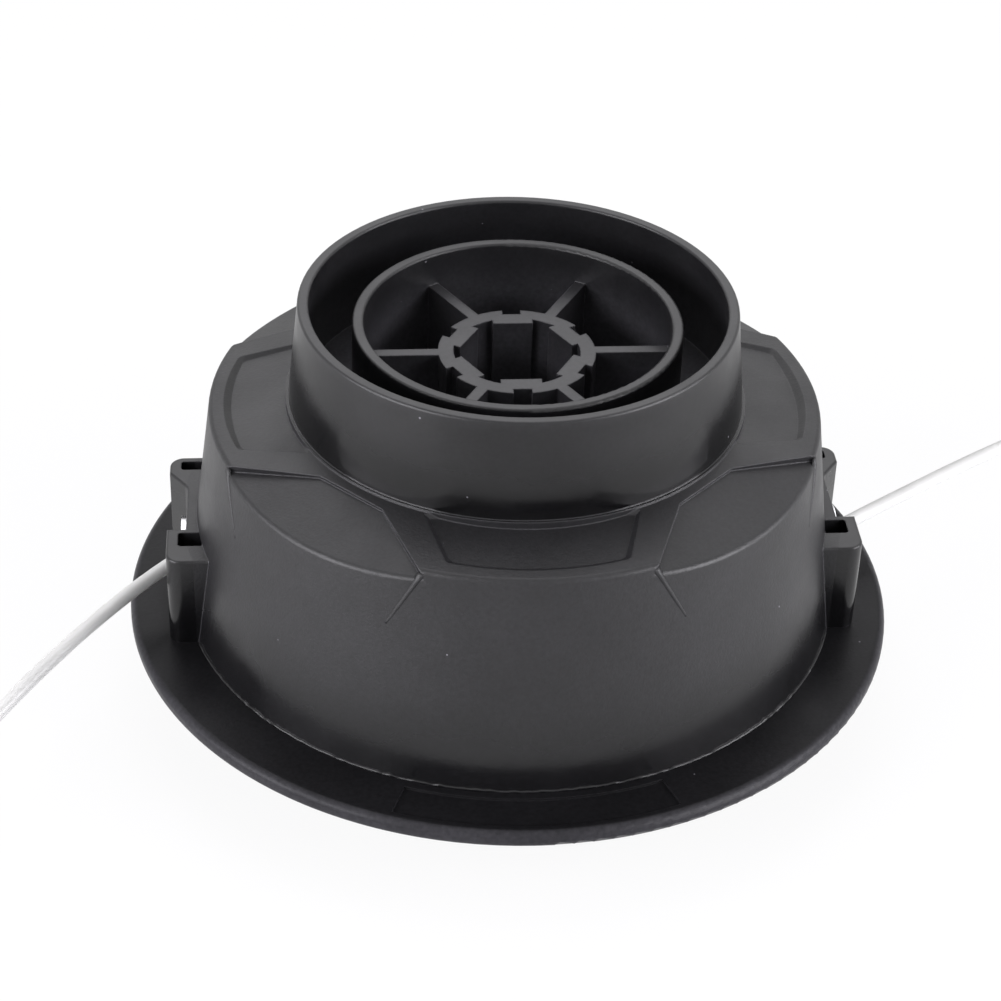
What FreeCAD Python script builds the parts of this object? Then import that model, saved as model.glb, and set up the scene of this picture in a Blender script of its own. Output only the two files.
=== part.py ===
"""Bump feed trimmer head, lying drive side up: millimetres, +Z up, origin under the foot of its knob."""
import FreeCAD, Part
import math
import os
import Sketcher

doc = FreeCAD.newDocument("trimmer_head")
sheet = doc.addObject("Spreadsheet::Sheet", "dims")

DIMENSIONS = {
    # Cover with its wide flange
    "flange_width": 9.7, "flange_thickness": 3.0, "flange_lift": 12.0, "flange_round": 1.2,
    "skirt_height": 3.6, "skirt_wall": 2.0, "fit_gap": 0.3,
    "guide_wall": 2.5, "guide_above": 2.0, "guide_below": 4.0,
    "plate_margin": 1.6, "plate_width": 6.2, "plate_half_angle": 21.0, "plate_depth": 0.4,
    # Drum and shoulder of the housing
    "drum_base_radius": 54.8, "drum_top_radius": 50.0, "drum_height": 37.2, "wall": 2.2, "shoulder_rise": 1.5,
    "strap_inner_half": 22.5, "strap_inner_reach": 31.9, "strap_outer_half": 17.3, "strap_outer_reach": 46.9,
    "facet_slope": 17.0, "facet_drop": 2.7, "facet_headroom": 14.0, "shoulder_round": 0.8,
    "panel_inner_half": 17.5, "panel_inner_reach": 33.6, "panel_outer_half": 14.2, "panel_outer_reach": 45.6,
    "panel_depth": 0.9, "panel_draft": 54.0, "panel_round": 2.4,
    # Collar, ring and drive hub
    "collar_base_radius": 37.1, "collar_top_radius": 35.4, "collar_height": 17.0, "collar_wall": 1.85,
    "collar_bead": 0.45, "collar_bead_rise": 0.3, "lip_round": 0.45,
    "moat_sink": 1.2, "ring_radius": 26.7, "ring_wall": 1.9, "ring_drop": 3.4, "pocket_sink": 4.4,
    "hub_radius": 12.8, "hub_drop": 9.2, "rib_thickness": 1.9, "rib_count": 6,
    "hex_across_flats": 17.2, "hex_flat_width": 6.6, "hex_relief_radius": 10.3, "hex_depth": 23.5,
    "flat_root": 0.4,
    "notch_width": 3.0, "notch_depth": 1.3, "shaft_hole_radius": 5.1, "drive_floor": 3.0,
    "nut_room_radius": 10.6,
    # Latch towers and line eyelets
    "tower_stand": 2.7, "tower_half_width": 15.2, "tower_height": 16.6, "tower_round": 2.4, "tower_lip": 0.4,
    "front_tower_near": 5.9, "back_tower_near": 10.6, "seat_scoop": 4.4, "scoop_round": 2.5,
    "front_slot_near": 7.0, "front_slot_width": 3.8, "back_slot_near": 11.4, "back_slot_width": 2.5,
    "slot_setback": 3.1, "throat_setback": 2.1, "slot_outer_wall": 1.9, "slot_round": 0.6, "slot_ledge": 0.8,
    "latch_height": 10.5, "latch_clearance": 0.25, "ledge_height": 7.0,
    "seat_setback": 0.4, "eyelet_height": 23.5,
    "eyelet_bore": 3.6, "eyelet_wall": 0.9, "eyelet_flange": 5.45, "eyelet_flange_thickness": 1.0,
    "eyelet_lip": 0.6, "eyelet_clearance": 0.05,
    # Spindle, spool and windings
    "spindle_radius": 13.4, "spindle_drop": 2.5, "spool_gap": 1.8, "spool_hub_radius": 21.5,
    "spool_hub_wall": 2.2,
    "spool_height": 21.0, "spool_flange": 1.6, "spool_mid_step": 3.0, "spool_ledge": 3.0,
    "spool_seat_lift": 1.0,
    "running_gap": 0.09, "winding_room": 8.0, "line_diameter": 2.4, "park_notch": 5.0,
    # Dogs that hold and step the spool
    "dog_count": 4, "dog_width": 7.0, "dog_inner": 29.0, "dog_outer": 38.0, "dog_contact_angle": 15.0,
    "dog_height": 4.0, "upper_dog_height": 2.7, "dog_clearance": 0.4,
    # Knob
    "knob_radius": 21.6, "knob_wall": 2.6, "knob_foot_radius": 16.0, "knob_foot_thickness": 3.6,
    "knob_shoulder": 6.5,
    "knob_flange_radius": 24.2, "knob_flange_thickness": 2.0, "knob_gap": 0.4, "knob_travel": 5.5,
    "key_count": 3, "key_width": 3.0, "key_depth": 1.0, "key_lift": 2.0,
    # Spring
    "spring_wire": 1.6, "spring_radius": 16.4, "spring_turns": 4.5, "washer_thickness": 1.0,
}
for row, (alias, value) in enumerate(DIMENSIONS.items(), start=1):
    sheet.set(f"A{row}", alias)
    sheet.set(f"B{row}", str(value))
    sheet.setAlias(f"B{row}", alias)

# Sections that one turn of the spring is drawn with, and corners of each section
STEPS_PER_TURN = 20
WIRE_SIDES = 8

# How near a measure of an edge comes to a size of the sheet when it is the edge meant, in millimetres
NEAR = 0.01

# How far the facet's cut runs out past the shoulder, in lengths of the strap's side
FACET_OVERRUN = 2.5

# Share of the shorter run that a bend in the free line takes up
BEND_SHARE = 0.45

# Levels and radii that follow from the driving dimensions
DERIVED = {
    "flange_top": "flange_lift + flange_thickness",
    "flange_radius": "drum_base_radius + flange_width",
    "plate_inner": "drum_base_radius + plate_margin",
    "plate_outer": "plate_inner + plate_width",
    "tower_reach": "drum_base_radius + tower_stand",
    "tower_top": "flange_top + tower_height",
    "seat_reach": "drum_base_radius - seat_setback",
    "slot_inner": "drum_base_radius - slot_setback",
    "throat_inner": "drum_base_radius - throat_setback",
    "slot_outer": "tower_reach - slot_outer_wall",
    "spool_radius": "drum_top_radius - wall - spool_gap",
    "spool_mid_radius": "spool_radius - spool_mid_step",
    "winding_radius": "spool_radius - winding_room",
    "drum_top": "flange_top + drum_height",
    "collar_base": "drum_top + shoulder_rise",
    "collar_top": "collar_base + collar_height",
    "moat_floor": "collar_base - moat_sink",
    "shoulder_slope": "shoulder_rise / (drum_top_radius - collar_base_radius)",
    "ring_top": "collar_top - ring_drop",
    "pocket_floor": "collar_base - pocket_sink",
    "hub_top": "collar_top - hub_drop",
    "drum_taper": "(drum_base_radius - drum_top_radius) / drum_height",
    "ceiling_outer": "drum_top - facet_drop - wall",
    "ceiling_inner": "moat_floor - wall",
    "ceiling_radius": "drum_base_radius - wall - drum_taper * (ceiling_outer - flange_top)",
    "pocket_ceiling": "pocket_floor - wall",
    "socket_floor": "hub_top - hex_depth",
    "spindle_foot": "flange_top + spindle_drop",
    "guide_top": "flange_top + guide_above",
    "guide_radius": "knob_radius + knob_gap",
    "skirt_radius": "drum_base_radius - wall - drum_taper * skirt_height - fit_gap",
    "knob_top": "guide_top + knob_flange_thickness",
    "spool_bottom": "knob_top + spool_seat_lift",
    "spool_top": "spool_bottom + spool_height",
    "spool_middle": "spool_bottom + spool_height / 2",
    "spring_well": "spool_hub_radius - spool_hub_wall",
    "washer_seat": "knob_top + spool_ledge",
    "spring_foot": "washer_seat + washer_thickness",
    "upper_dog_foot": "spool_top + knob_travel + dog_clearance",
}
for row, (alias, formula) in enumerate(DERIVED.items(), start=len(DIMENSIONS) + 1):
    sheet.set(f"A{row}", alias)
    sheet.set(f"B{row}", f"={formula}")
    sheet.setAlias(f"B{row}", alias)
doc.recompute()


def size(alias):
    """Value of one cell of the sheet."""
    return float(getattr(sheet, alias))


def bound(formula):
    """Formula on the sheet's aliases, written so that any object of the document can hold it."""
    words = []
    word = ""
    for sign in formula + " ":
        if sign.isalnum() or sign in "_.":
            word += sign
            continue
        words.append(f"dims.{word}" if word in DIMENSIONS or word in DERIVED else word)
        words.append(sign)
        word = ""
    return "".join(words).strip()


def value_of(formula):
    """Number that a formula on the sheet's aliases gives now."""
    return float(sheet.evalExpression(formula))


def new_body(label):
    """Empty body whose label names the sub-part."""
    body = doc.addObject("PartDesign::Body", label)
    body.Label = label
    return body


def new_sketch(body, name, plane, lift=None, offset=None):
    """Sketch on one of the body's origin planes, set by a placement and lifted along the plane's normal."""
    sketch = body.newObject("Sketcher::SketchObject", name)
    support = [item for item in body.Origin.OriginFeatures if item.Role == plane][0]
    sketch.AttachmentSupport = [(support, "")]
    sketch.MapMode = "FlatFace"
    if offset is not None:
        sketch.AttachmentOffset = offset
    if lift is not None:
        sketch.setExpression("AttachmentOffset.Base.z", bound(lift))
    return sketch


def pin(sketch, kind, element, corner, formula):
    """Hold one coordinate of a sketch point at a formula on the sheet."""
    number = value_of(formula)
    index = sketch.addConstraint(Sketcher.Constraint(kind, -1, 1, element, corner, number))
    sketch.renameConstraint(index, f"{kind}_{element}_{corner}")
    sketch.setExpression(f"Constraints.{kind}_{element}_{corner}", bound(formula))


def outline(sketch, corners):
    """Closed outline of straight lines; every corner is a pair of formulas."""
    points = [FreeCAD.Vector(value_of(x), value_of(y), 0) for x, y in corners]
    first = sketch.GeometryCount
    for here, there in zip(points, points[1:] + points[:1]):
        sketch.addGeometry(Part.LineSegment(here, there))
    for step, (x, y) in enumerate(corners):
        element = first + step
        following = first + (step + 1) % len(corners)
        sketch.addConstraint(Sketcher.Constraint("Coincident", element, 2, following, 1))
        pin(sketch, "DistanceX", element, 1, x)
        pin(sketch, "DistanceY", element, 1, y)


def rectangle(sketch, left, right, bottom, top):
    """Upright rectangle between four formulas."""
    outline(sketch, [(left, bottom), (right, bottom), (right, top), (left, top)])


def circle(sketch, radius, x="0", y="0"):
    """Circle whose radius and centre follow formulas."""
    centre = FreeCAD.Vector(value_of(x), value_of(y), 0)
    element = sketch.addGeometry(Part.Circle(centre, FreeCAD.Vector(0, 0, 1), value_of(radius)))
    pin(sketch, "DistanceX", element, 3, x)
    pin(sketch, "DistanceY", element, 3, y)
    index = sketch.addConstraint(Sketcher.Constraint("Radius", element, value_of(radius)))
    sketch.renameConstraint(index, f"Radius_{element}")
    sketch.setExpression(f"Constraints.Radius_{element}", bound(radius))


def revolve(body, name, corners, kind="Revolution"):
    """Outline of (radius, height) corners turned about Z, as material or as a cut."""
    sketch = new_sketch(body, f"{name}_section", "XZ_Plane")
    outline(sketch, corners)
    feature = body.newObject(f"PartDesign::{kind}", name)
    feature.Profile = sketch
    feature.ReferenceAxis = (sketch, ["V_Axis"])
    feature.Angle = 360
    return settled(body, feature)


def extrude(body, name, sketch, length, kind="Pad", back=False, taper=None):
    """Pad or pocket of a sketch by a formula, along its normal or back from it."""
    feature = body.newObject(f"PartDesign::{kind}", name)
    feature.Profile = sketch
    feature.Reversed = back
    feature.setExpression("Length", bound(length))
    if taper is not None:
        feature.setExpression("TaperAngle", bound(taper))
    return settled(body, feature)


def settled(body, feature):
    """Make the feature the body's tip, bring it up to date and see that it changed the solid."""
    before = None
    base = getattr(feature, "BaseFeature", None)
    if base is not None and not base.Shape.isNull():
        before = base.Shape.Volume
    body.Tip = feature
    doc.recompute()
    if not feature.isValid() or feature.Shape.isNull():
        raise RuntimeError(f"{body.Label}: {feature.Name} failed")
    if before is not None and abs(feature.Shape.Volume - before) < 1e-6:
        raise RuntimeError(f"{body.Label}: {feature.Name} changed nothing")
    return feature


def around(body, name, features, count):
    """Copies of features, evenly spaced about Z."""
    pattern = body.newObject("PartDesign::PolarPattern", name)
    pattern.Originals = features
    axis = [item for item in body.Origin.OriginFeatures if item.Role == "Z_Axis"][0]
    pattern.Axis = (axis, [""])
    pattern.Angle = 360
    pattern.setExpression("Occurrences", bound(count))
    return settled(body, pattern)


def round_edges(body, name, radius, chosen):
    """Fillet of the edges that a test picks from the body's present shape."""
    base = body.Tip
    names = [f"Edge{number}" for number, edge in enumerate(base.Shape.Edges, start=1) if chosen(edge)]
    if not names:
        raise RuntimeError(f"{body.Label}: {name} finds no edge")
    fillet = body.newObject("PartDesign::Fillet", name)
    fillet.Base = (base, names)
    fillet.setExpression("Radius", bound(radius))
    return settled(body, fillet)


def middle_of(edge):
    """Radius, height and point halfway along an edge."""
    point = edge.valueAt((edge.FirstParameter + edge.LastParameter) / 2)
    return math.hypot(point.x, point.y), point.z, point


def is_ring(edge, radius, height):
    """True for a full circle about Z at this radius and height."""
    curve = edge.Curve
    return (isinstance(curve, Part.Circle) and abs(curve.Radius - radius) < NEAR
            and abs(curve.Center.z - height) < NEAR and math.hypot(curve.Center.x, curve.Center.y) < NEAR)


def is_upright(edge):
    """True for a straight edge along Z."""
    return isinstance(edge.Curve, Part.Line) and abs(abs(edge.Curve.Direction.z) - 1) < NEAR


def tilted(turn, slope, reach, height):
    """Placement of a sketch plane that falls outward by slope degrees; its local -Y points outward."""
    rotation = FreeCAD.Rotation(turn, 0, slope)
    outward = FreeCAD.Rotation(turn, 0, 0).multVec(FreeCAD.Vector(0, -reach, 0))
    return FreeCAD.Placement(outward + FreeCAD.Vector(0, 0, height), rotation)


def build_housing():
    """Drum, collar, ring and drive hub in one moulding, with latch towers on its two sides."""
    body = new_body("upper_housing")
    collar_inside = "collar_base_radius - collar_wall"
    revolve(body, "drum", [
        ("0", "flange_top"), ("drum_base_radius", "flange_top"), ("drum_top_radius", "drum_top"),
        ("collar_base_radius", "collar_base"), (collar_inside, "collar_base"), (collar_inside, "moat_floor"),
        ("ring_radius", "moat_floor"), ("ring_radius", "ring_top"), ("ring_radius - ring_wall", "ring_top"),
        ("ring_radius - ring_wall", "pocket_floor"), ("hub_radius", "pocket_floor"),
        ("hub_radius", "hub_top"), ("0", "hub_top")])
    add_facets(body)
    round_shoulder(body)
    add_panels(body)
    add_collar(body)
    add_towers(body)
    revolve(body, "cavity", [
        ("0", "flange_top - wall"), ("drum_base_radius - wall + drum_taper * wall", "flange_top - wall"),
        ("ceiling_radius", "ceiling_outer"), ("collar_base_radius - wall", "ceiling_inner"),
        ("ring_radius", "ceiling_inner"), ("ring_radius", "pocket_ceiling"),
        ("spindle_radius", "pocket_ceiling"), ("spindle_radius", "spindle_foot"),
        ("0", "spindle_foot")], "Groove")
    revolve(body, "drive_bore", [
        ("0", "hub_top + wall"), ("hex_relief_radius", "hub_top + wall"),
        ("hex_relief_radius", "socket_floor"), ("shaft_hole_radius", "socket_floor"),
        ("shaft_hole_radius", "socket_floor - drive_floor"),
        ("nut_room_radius", "socket_floor - drive_floor"), ("nut_room_radius", "spindle_foot - wall"),
        ("0", "spindle_foot - wall")], "Groove")
    add_hub_details(body)
    add_latch_slots(body)
    add_eyelet_ports(body)
    half_pitch = 180 / size("dog_count")
    add_dogs(body, "upper_dog", "upper_dog_foot", "ceiling_inner - upper_dog_foot + wall / 4",
             size("dog_contact_angle") + half_pitch)
    return body


def add_dogs(body, name, floor, height, angle=0, down=False):
    """Ring of radial stops; the angle turns the first one from the X axis."""
    turn = FreeCAD.Placement(FreeCAD.Vector(), FreeCAD.Rotation(angle, 0, 0))
    sketch = new_sketch(body, f"{name}_plan", "XY_Plane", floor, turn)
    rectangle(sketch, "dog_inner", "dog_outer", "-dog_width / 2", "dog_width / 2")
    dog = extrude(body, name, sketch, height, back=down)
    around(body, f"{name}s", [dog], "dog_count")


def add_facets(body):
    """Four flat facets that fall outward between the straps of the shoulder."""
    facet_reach = math.hypot(size("strap_inner_half"), size("strap_inner_reach"))
    edge_height = size("drum_top") - size("facet_drop")
    slope = size("facet_slope")
    height = edge_height + (size("drum_top_radius") - facet_reach) * math.tan(math.radians(slope))
    sketch = new_sketch(body, "facet_plan", "XY_Plane", offset=tilted(45, slope, facet_reach, height))
    inner_half = "(strap_inner_reach - strap_inner_half) / sqrt(2)"
    outer_half = "(strap_outer_reach - strap_outer_half) / sqrt(2)"
    run = "(strap_outer_reach + strap_outer_half - strap_inner_reach - strap_inner_half) / sqrt(2)"
    beyond = f"{inner_half} + {FACET_OVERRUN} * ({outer_half} - {inner_half})"
    outline(sketch, [(f"-({inner_half})", "0"), (f"-({beyond})", f"-{FACET_OVERRUN} * {run}"),
                     (beyond, f"-{FACET_OVERRUN} * {run}"), (inner_half, "0")])
    facet = extrude(body, "facet", sketch, "facet_headroom", "Pocket", back=True)
    around(body, "facets", [facet], "4")


def round_shoulder(body):
    """Rounds the drum's upper edge, along the straps and the facets."""
    inner = size("drum_top_radius") - size("facet_drop") / 2
    low = size("drum_top") - 2 * size("facet_drop")

    def on_drum_edge(edge):
        radius, height, _ = middle_of(edge)
        return radius > inner and height > low

    round_edges(body, "drum_edge", "shoulder_round", on_drum_edge)


def add_panels(body):
    """Shallow panel with sloping sides in the top of each strap, its outer side round like the drum."""
    slope = math.degrees(math.atan(size("shoulder_slope")))
    drop = (size("panel_inner_reach") - size("collar_base_radius")) * size("shoulder_slope")
    height = size("collar_base") - drop
    offset = tilted(0, slope, size("panel_inner_reach"), height)
    sketch = new_sketch(body, "panel_plan", "XY_Plane", offset=offset)
    far = "panel_inner_reach - panel_outer_reach"
    corners = [("panel_outer_half", far), ("panel_inner_half", "0"),
               ("-panel_inner_half", "0"), ("-panel_outer_half", far)]
    points = [FreeCAD.Vector(value_of(x), value_of(y), 0) for x, y in corners]
    for element, (here, there) in enumerate(zip(points, points[1:])):
        sketch.addGeometry(Part.LineSegment(here, there))
        pin(sketch, "DistanceX", element, 1, corners[element][0])
        pin(sketch, "DistanceY", element, 1, corners[element][1])
    for element in (0, 1):
        sketch.addConstraint(Sketcher.Constraint("Coincident", element, 2, element + 1, 1))
    pin(sketch, "DistanceX", 2, 2, corners[3][0])
    pin(sketch, "DistanceY", 2, 2, corners[3][1])
    radius = math.hypot(size("panel_outer_half"), size("panel_outer_reach"))
    crest = FreeCAD.Vector(0, size("panel_inner_reach") - radius, 0)
    arc = sketch.addGeometry(Part.Arc(points[3], crest, points[0]))
    sketch.addConstraint(Sketcher.Constraint("Coincident", arc, 1, 2, 2))
    sketch.addConstraint(Sketcher.Constraint("Coincident", arc, 2, 0, 1))
    pin(sketch, "DistanceY", arc, 3, "panel_inner_reach")
    panel = extrude(body, "panel", sketch, "panel_depth", "Pocket", taper="-panel_draft")
    around(body, "panels", [panel], "4")
    near = size("panel_depth")

    def in_panel_corner(edge):
        points = [vertex.Point for vertex in edge.Vertexes]
        at_corner = any(abs(math.hypot(point.x, point.y) - radius) < near
                        and abs(min(abs(point.x), abs(point.y)) - size("panel_outer_half")) < near
                        for point in points)
        return at_corner and edge.Length < 3 * near

    round_edges(body, "panel_corners", "panel_round", in_panel_corner)


def add_collar(body):
    """Tapered collar with a fine bead round its foot, and the rounded lips of collar and ring."""
    inside = "collar_base_radius - collar_wall"
    bead_top = "collar_base + collar_bead_rise"
    revolve(body, "collar", [
        (inside, "moat_floor"), ("collar_base_radius + collar_bead", "moat_floor"),
        ("collar_base_radius + collar_bead", bead_top), ("collar_base_radius", bead_top),
        ("collar_top_radius", "collar_top"), ("collar_top_radius - collar_wall", "collar_top")])
    lips = []
    for name, wall in (("collar_top_radius", "collar_wall"), ("ring_radius", "ring_wall")):
        height = size("collar_top" if name == "collar_top_radius" else "ring_top")
        lips += [(size(name), height), (size(name) - size(wall), height)]

    def on_lip(edge):
        return any(is_ring(edge, radius, height) for radius, height in lips)

    round_edges(body, "lips", "lip_round", on_lip)


def add_towers(body):
    """Wide front tower and narrow back tower on each side, with the eyelet's seat between them."""
    for side, name in ((1, "right"), (-1, "left")):
        sketch = new_sketch(body, f"{name}_tower_plan", "XY_Plane", "flange_top")
        inside = f"{side} * (drum_top_radius - wall)"
        reach, seat = f"{side} * tower_reach", f"{side} * seat_reach"
        outline(sketch, [
            (inside, "-tower_half_width"), (reach, "-tower_half_width"), (reach, "-front_tower_near"),
            (seat, "-front_tower_near"), (seat, "back_tower_near - seat_scoop"), (reach, "back_tower_near"),
            (reach, "tower_half_width"), (inside, "tower_half_width")])
        extrude(body, f"{name}_tower", sketch, "tower_height")

    def at_corner(edge, x, y):
        _, _, point = middle_of(edge)
        return is_upright(edge) and abs(abs(point.x) - x) < NEAR and abs(point.y - y) < NEAR

    reach, half = size("tower_reach"), size("tower_half_width")
    scoop = size("back_tower_near") - size("seat_scoop")
    round_edges(body, "tower_corners", "tower_round",
                lambda edge: at_corner(edge, reach, half) or at_corner(edge, reach, -half))
    round_edges(body, "seat_scoops", "scoop_round", lambda edge: at_corner(edge, size("seat_reach"), scoop))


def add_hub_details(body):
    """Six drive flats in the bore, six ribs to the ring and a notch outside each flat."""
    ribs = new_sketch(body, "rib_plan", "XY_Plane", "pocket_floor")
    rectangle(ribs, "hub_radius - notch_depth", "ring_radius - ring_wall / 2",
              "-rib_thickness / 2", "rib_thickness / 2")
    rib = extrude(body, "rib", ribs, "hub_top - pocket_floor")
    around(body, "ribs", [rib], "rib_count")
    flats = new_sketch(body, "flat_plan", "XY_Plane", "socket_floor")
    rectangle(flats, "-hex_flat_width / 2", "hex_flat_width / 2",
              "hex_across_flats / 2", "hex_relief_radius + flat_root")
    flat = extrude(body, "drive_flat", flats, "hex_depth")
    around(body, "drive_flats", [flat], "rib_count")
    notches = new_sketch(body, "notch_plan", "XY_Plane", "hub_top")
    rectangle(notches, "-notch_width / 2", "notch_width / 2",
              "hub_radius - notch_depth", "hub_radius + notch_depth")
    notch = extrude(body, "notch", notches, "hub_top - pocket_floor", "Pocket")
    around(body, "notches", [notch], "rib_count")


def add_latch_slots(body):
    """Slot in each tower, wider above the ledge that the cover's latch hooks over, and the towers' lips."""
    for side, end in PLACES:
        near, throat, far = slot_sides(end)
        name = f"{side}_{end}"
        out = 1 if side == "right" else -1
        outer = f"{out} * slot_outer"
        wide = new_sketch(body, f"{name}_slot_plan", "XY_Plane", "tower_top")
        rectangle(wide, f"{out} * slot_inner", outer, near, far)
        extrude(body, f"{name}_slot", wide, "tower_height - ledge_height", "Pocket")
        narrow = new_sketch(body, f"{name}_throat_plan", "XY_Plane", "flange_top + ledge_height")
        rectangle(narrow, f"{out} * throat_inner", outer, near, throat)
        extrude(body, f"{name}_throat", narrow, "ledge_height", "Pocket")
    ledge, top = size("flange_top") + size("ledge_height"), size("tower_top")

    def in_slot_corner(edge):
        _, height, point = middle_of(edge)
        return is_upright(edge) and abs(abs(point.x) - size("slot_outer")) < NEAR and ledge < height < top

    def on_tower_lip(edge):
        _, height, point = middle_of(edge)
        on_front = abs(point.x) > size("slot_outer") + NEAR
        on_end = abs(point.x) > size("slot_inner") and abs(point.y) > size("tower_half_width") - NEAR
        return abs(height - top) < NEAR and (on_front or on_end)

    round_edges(body, "slot_corners", "slot_round", in_slot_corner)
    round_edges(body, "tower_lips", "tower_lip", on_tower_lip)


# The four latches: which side of the head, and which end of the pair of towers
PLACES = [("right", "front"), ("right", "back"), ("left", "front"), ("left", "back")]


def slot_sides(end):
    """Formulas for a slot's near side, the end of its throat and its far side, from the middle outward."""
    sign = 1 if end == "back" else -1
    near = f"{end}_slot_near"
    far = f"{end}_slot_near + {end}_slot_width"
    return f"{sign} * {near}", f"{sign} * ({far} - slot_ledge)", f"{sign} * ({far})"


def add_eyelet_ports(body):
    """Round port through the wall for each eyelet."""
    sketch = new_sketch(body, "port_plan", "YZ_Plane", "seat_reach")
    circle(sketch, "eyelet_bore + eyelet_wall + eyelet_clearance", "0", "eyelet_height")
    port = extrude(body, "port", sketch, "seat_reach - spool_radius", "Pocket")
    around(body, "ports", [port], "2")


def build_cover():
    """Cover with the flange, the skirt inside the drum, the knob's guide, latch arms and dogs."""
    body = new_body("lower_cover")
    revolve(body, "plate", [
        ("guide_radius", "flange_lift - guide_below"),
        ("guide_radius + guide_wall", "flange_lift - guide_below"),
        ("guide_radius + guide_wall", "flange_lift"), ("flange_radius", "flange_lift"),
        ("flange_radius", "flange_top"), ("skirt_radius", "flange_top"),
        ("skirt_radius", "flange_top + skirt_height"),
        ("skirt_radius - skirt_wall", "flange_top + skirt_height"),
        ("skirt_radius - skirt_wall", "flange_top"), ("guide_radius + guide_wall", "flange_top"),
        ("guide_radius + guide_wall", "guide_top"), ("guide_radius", "guide_top")])
    radius = size("flange_radius")
    levels = (size("flange_lift"), size("flange_top"))
    round_edges(body, "rim", "flange_round",
                lambda edge: any(is_ring(edge, radius, level) for level in levels))
    add_dogs(body, "lower_dog", "flange_top", "dog_height", size("dog_contact_angle"))
    keys = new_sketch(body, "key_plan", "XY_Plane", "flange_lift + key_lift")
    rectangle(keys, "-key_width / 2", "key_width / 2",
              "guide_radius - key_depth", "guide_radius + guide_wall / 2")
    key = extrude(body, "key", keys, "flange_thickness + guide_above - key_lift")
    around(body, "keys", [key], "key_count")
    add_latches(body)
    add_bare_plates(body)
    return body


def add_latches(body):
    """Springy arm with a hook in each of the four towers."""
    for side, end in PLACES:
        name = f"{side}_{end}"
        out = 1 if side == "right" else -1
        sign = 1 if end == "back" else -1
        near, throat, far = slot_sides(end)
        gap = f"{sign} * latch_clearance"
        near, throat, far = f"{near} + {gap}", f"{throat} - {gap}", f"{far} - {gap}"
        inner = f"{out} * (throat_inner + latch_clearance)"
        outer = f"{out} * (slot_outer - latch_clearance)"
        arm = new_sketch(body, f"{name}_arm_plan", "XY_Plane", "flange_top")
        rectangle(arm, inner, outer, near, throat)
        extrude(body, f"{name}_arm", arm, "latch_height")
        hook = new_sketch(body, f"{name}_hook_section", "YZ_Plane", inner)
        catch = "flange_top + ledge_height + latch_clearance"
        outline(hook, [(throat, catch), (far, catch), (throat, "flange_top + latch_height")])
        extrude(body, f"{name}_hook", hook, "slot_outer - throat_inner - 2 * latch_clearance", back=out < 0)


def add_bare_plates(body):
    """Shallow sector on the flange, at the front and at the back."""
    half = math.radians(size("plate_half_angle"))
    start, end = -math.pi / 2 - half, -math.pi / 2 + half
    sketch = new_sketch(body, "bare_plate_plan", "XY_Plane", "flange_top")
    centre = FreeCAD.Vector(0, 0, 0)
    for element, radius in enumerate(("plate_inner", "plate_outer")):
        circle_whole = Part.Circle(centre, FreeCAD.Vector(0, 0, 1), size(radius))
        sketch.addGeometry(Part.ArcOfCircle(circle_whole, start, end))
        sketch.addConstraint(Sketcher.Constraint("Coincident", element, 3, -1, 1))
        index = sketch.addConstraint(Sketcher.Constraint("Radius", element, size(radius)))
        sketch.renameConstraint(index, radius)
        sketch.setExpression(f"Constraints.{radius}", bound(radius))
    for corner, angle in ((1, start), (2, end)):
        away = FreeCAD.Vector(math.cos(angle), math.sin(angle), 0)
        sketch.addGeometry(Part.LineSegment(away * size("plate_inner"), away * size("plate_outer")))
        sketch.addConstraint(Sketcher.Constraint("Coincident", corner + 1, 1, 0, corner))
        sketch.addConstraint(Sketcher.Constraint("Coincident", corner + 1, 2, 1, corner))
    plate = extrude(body, "bare_plate", sketch, "plate_depth", "Pocket")
    around(body, "bare_plates", [plate], "2")


def build_spool():
    """Spool with two line compartments, a spring well and dogs on both ends."""
    body = new_body("spool")
    revolve(body, "reel", [
        ("spindle_radius + running_gap", "knob_top"), ("spool_hub_radius", "knob_top"),
        ("spool_hub_radius", "spool_bottom"), ("spool_radius", "spool_bottom"),
        ("spool_radius", "spool_bottom + spool_flange"), ("spool_hub_radius", "spool_bottom + spool_flange"),
        ("spool_hub_radius", "spool_middle - spool_flange / 2"),
        ("spool_mid_radius", "spool_middle - spool_flange / 2"),
        ("spool_mid_radius", "spool_middle + spool_flange / 2"),
        ("spool_hub_radius", "spool_middle + spool_flange / 2"),
        ("spool_hub_radius", "spool_top - spool_flange"), ("spool_radius", "spool_top - spool_flange"),
        ("spool_radius", "spool_top"), ("spring_well", "spool_top"), ("spring_well", "washer_seat"),
        ("spindle_radius + running_gap", "washer_seat")])
    add_dogs(body, "lower_dog", "spool_bottom", "dog_height", down=True)
    add_dogs(body, "upper_dog", "spool_top", "upper_dog_height")
    park = new_sketch(body, "park_plan", "XY_Plane", "spool_top")
    rectangle(park, "spool_radius - park_notch", "spool_radius + park_notch",
              "-line_diameter / 2 - park_notch", "line_diameter / 2 - park_notch")
    notch = extrude(body, "park_notch", park, "spool_flange", "Pocket")
    around(body, "park_notches", [notch], "2")
    return body


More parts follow.
